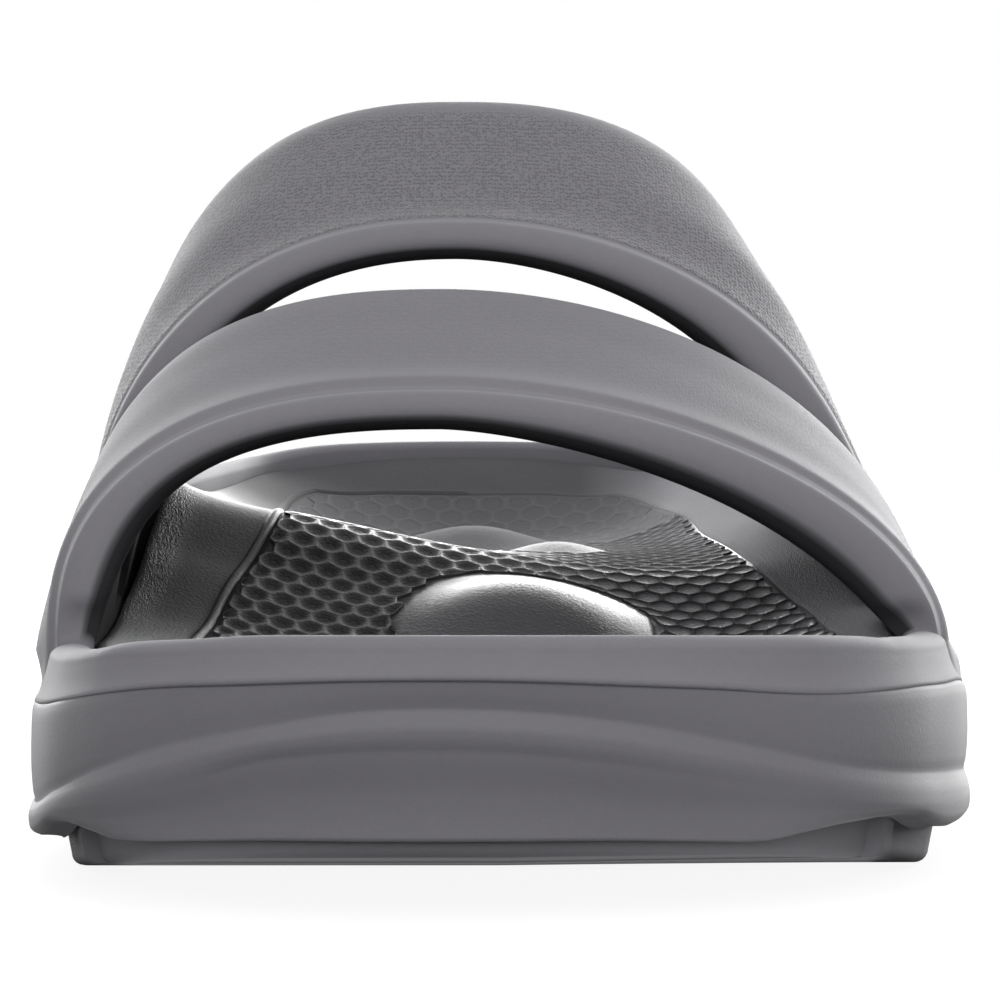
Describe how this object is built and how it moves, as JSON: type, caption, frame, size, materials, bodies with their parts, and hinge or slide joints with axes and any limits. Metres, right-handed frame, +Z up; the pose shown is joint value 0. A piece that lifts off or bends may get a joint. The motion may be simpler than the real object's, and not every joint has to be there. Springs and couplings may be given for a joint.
{
  "type": "orthopedic slide slipper",
  "caption": "Moulded foam slide with broad straps over the instep, ribbed cup sole, contoured footbed with arch support and textured inlay, open at toe and heel.",
  "frame": {"origin": "middle of the shoe's box in plan, on the floor under the sole", "axes": "+Z up; +Y towards the heel, the toe points to -Y; -X is the medial side of this left shoe"},
  "size_m": [0.1125, 0.2861, 0.0958],
  "materials": {
    "upper": "satin grained foam",
    "midsole": "satin foam",
    "outsole": "matte",
    "footbed": "satin foam",
    "insole": "satin textured foam"
  },
  "bodies": {
    "root": {"upper": "upper", "midsole": "midsole", "outsole": "outsole", "footbed": "footbed", "insole": "insole"}
  },
  "joints": []
}
